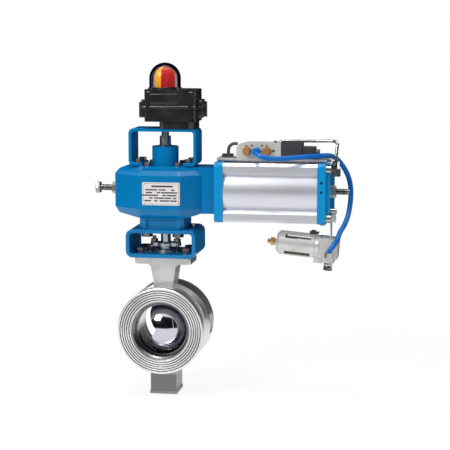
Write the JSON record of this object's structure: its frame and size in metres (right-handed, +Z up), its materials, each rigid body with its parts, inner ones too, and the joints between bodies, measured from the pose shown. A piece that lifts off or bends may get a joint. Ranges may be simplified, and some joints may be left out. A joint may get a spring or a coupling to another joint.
{
  "type": "pneumatic actuated valve",
  "caption": "Wafer V-port ball control valve with a scotch-yoke air cylinder, switch box with indicator dome, solenoid valve and air filter.",
  "frame": {"origin": "centre of the inlet face, on the pipe axis", "axes": "+Y with the flow, +Z up the stem, +X towards the air cylinder"},
  "size_m": [0.411, 0.1129, 0.5285],
  "materials": {
    "cast_steel": "bead-blasted stainless casting",
    "turned_steel": "turned",
    "seat_metal": "dark hard-faced",
    "polished_ball": "mirror polish",
    "bronze": "bronze",
    "packing": "matt",
    "fastener": "plated",
    "dark_steel": "machined",
    "chromed_rod": "hard chrome",
    "blue_paint": "semi-gloss enamel",
    "plate_metal": "satin",
    "anodised": "satin anodised",
    "plain_aluminium": "turned",
    "rubber": "matt",
    "black_box": "black textured",
    "black_plastic": "satin",
    "clear_dome": "clear",
    "clear_bowl": "clear",
    "indicator_red": "red and yellow",
    "sensor_plastic": "potted",
    "grey_body": "light grey",
    "brass": "sintered and turned brass",
    "nickel": "nickel plated",
    "black_hose": "satin",
    "blue_hose": "polyurethane"
  },
  "bodies": {
    "frame": {"valve_body": "cast_steel", "seat_ring": "seat_metal", "seat_retainer": "turned_steel", "stem_bearings": "bronze", "packing_rings": "packing", "gland_follower": "turned_steel", "gland_flange": "cast_steel", "gland_studs": "fastener", "bottom_cover": "cast_steel", "mounting_bracket": "blue_paint", "bracket_bolts": "fastener", "housing": "blue_paint", "housing_cover": "blue_paint", "cover_bolts": "fastener", "bronze_bushes": "bronze", "stop_lock_nuts": "fastener", "nameplate": "plate_metal", "inner_end_plate": "blue_paint", "cylinder_tube": "anodised", "outer_end_cap": "blue_paint", "tie_bolts": "fastener", "cylinder_seals": "rubber", "switch_bracket": "blue_paint", "switch_base": "black_box", "switch_lid": "black_box", "lid_screws": "fastener", "indicator_dome": "clear_dome", "proximity_sensors": "sensor_plastic", "solenoid_plate": "plate_metal", "solenoid_body": "grey_body", "solenoid_coil": "black_plastic", "din_connector": "black_plastic", "exhaust_silencers": "brass", "air_fittings": "nickel", "air_pipe": "nickel", "pilot_hose": "black_hose", "filter_bracket": "plate_metal", "filter_head": "grey_body", "filter_bowl": "clear_bowl", "bowl_guard": "grey_body", "filter_element": "packing", "air_hose": "blue_hose"},
    "rotor": {"v_ball": "polished_ball", "valve_stem": "turned_steel", "lower_trunnion": "turned_steel", "drive_shaft": "turned_steel", "yoke": "dark_steel", "indicator_drum": "indicator_red", "switch_shaft": "turned_steel"},
    "piston_group": {"slide_block": "dark_steel", "yoke_rollers": "turned_steel", "piston_rod": "chromed_rod", "piston": "plain_aluminium", "piston_seals": "rubber"},
    "spool": {"valve_spool": "turned_steel"},
    "override": {"override_button": "black_plastic"},
    "left_stop": {"left_stop_screw": "fastener"},
    "right_stop": {"right_stop_screw": "fastener"},
    "drain": {"drain_cock": "brass"},
    "latch": {"guard_latch": "black_plastic"}
  },
  "joints": [
    {"name": "valve_turn", "type": "hinge", "parent": "frame", "child": "rotor", "pos_m": [0, 0.05, 0], "axis": [0, 0, 1], "range_deg": [-45, 45]},
    {"name": "piston_stroke", "type": "slide", "parent": "frame", "child": "piston_group", "axis": [-1, 0, 0], "range_m": [-0.0206, 0.0206]},
    {"name": "spool_shift", "type": "slide", "parent": "frame", "child": "spool", "axis": [1, 0, 0], "range_m": [0, 0.0035], "stiffness_N_per_m": 400},
    {"name": "override_press", "type": "slide", "parent": "frame", "child": "override", "axis": [0, 0, -1], "range_m": [0, 0.0015], "stiffness_N_per_m": 300},
    {"name": "left_stop_adjust", "type": "slide", "parent": "frame", "child": "left_stop", "axis": [-1, 0, 0], "range_m": [0, 0.008]},
    {"name": "right_stop_adjust", "type": "slide", "parent": "frame", "child": "right_stop", "axis": [1, 0, 0], "range_m": [0, 0.008]},
    {"name": "drain_turn", "type": "hinge", "parent": "frame", "child": "drain", "pos_m": [0.18031, 0.028, 0.14415], "axis": [-0.9962, 0, 0.0872], "range_deg": [0, 90]},
    {"name": "latch_press", "type": "slide", "parent": "frame", "child": "latch", "axis": [-0.9962, 0, 0.0872], "range_m": [0, 0.003], "stiffness_N_per_m": 200}
  ],
  "couplings": [
    {"joint": "piston_stroke", "follows": "valve_turn", "m_per_rad": 0.026101}
  ]
}
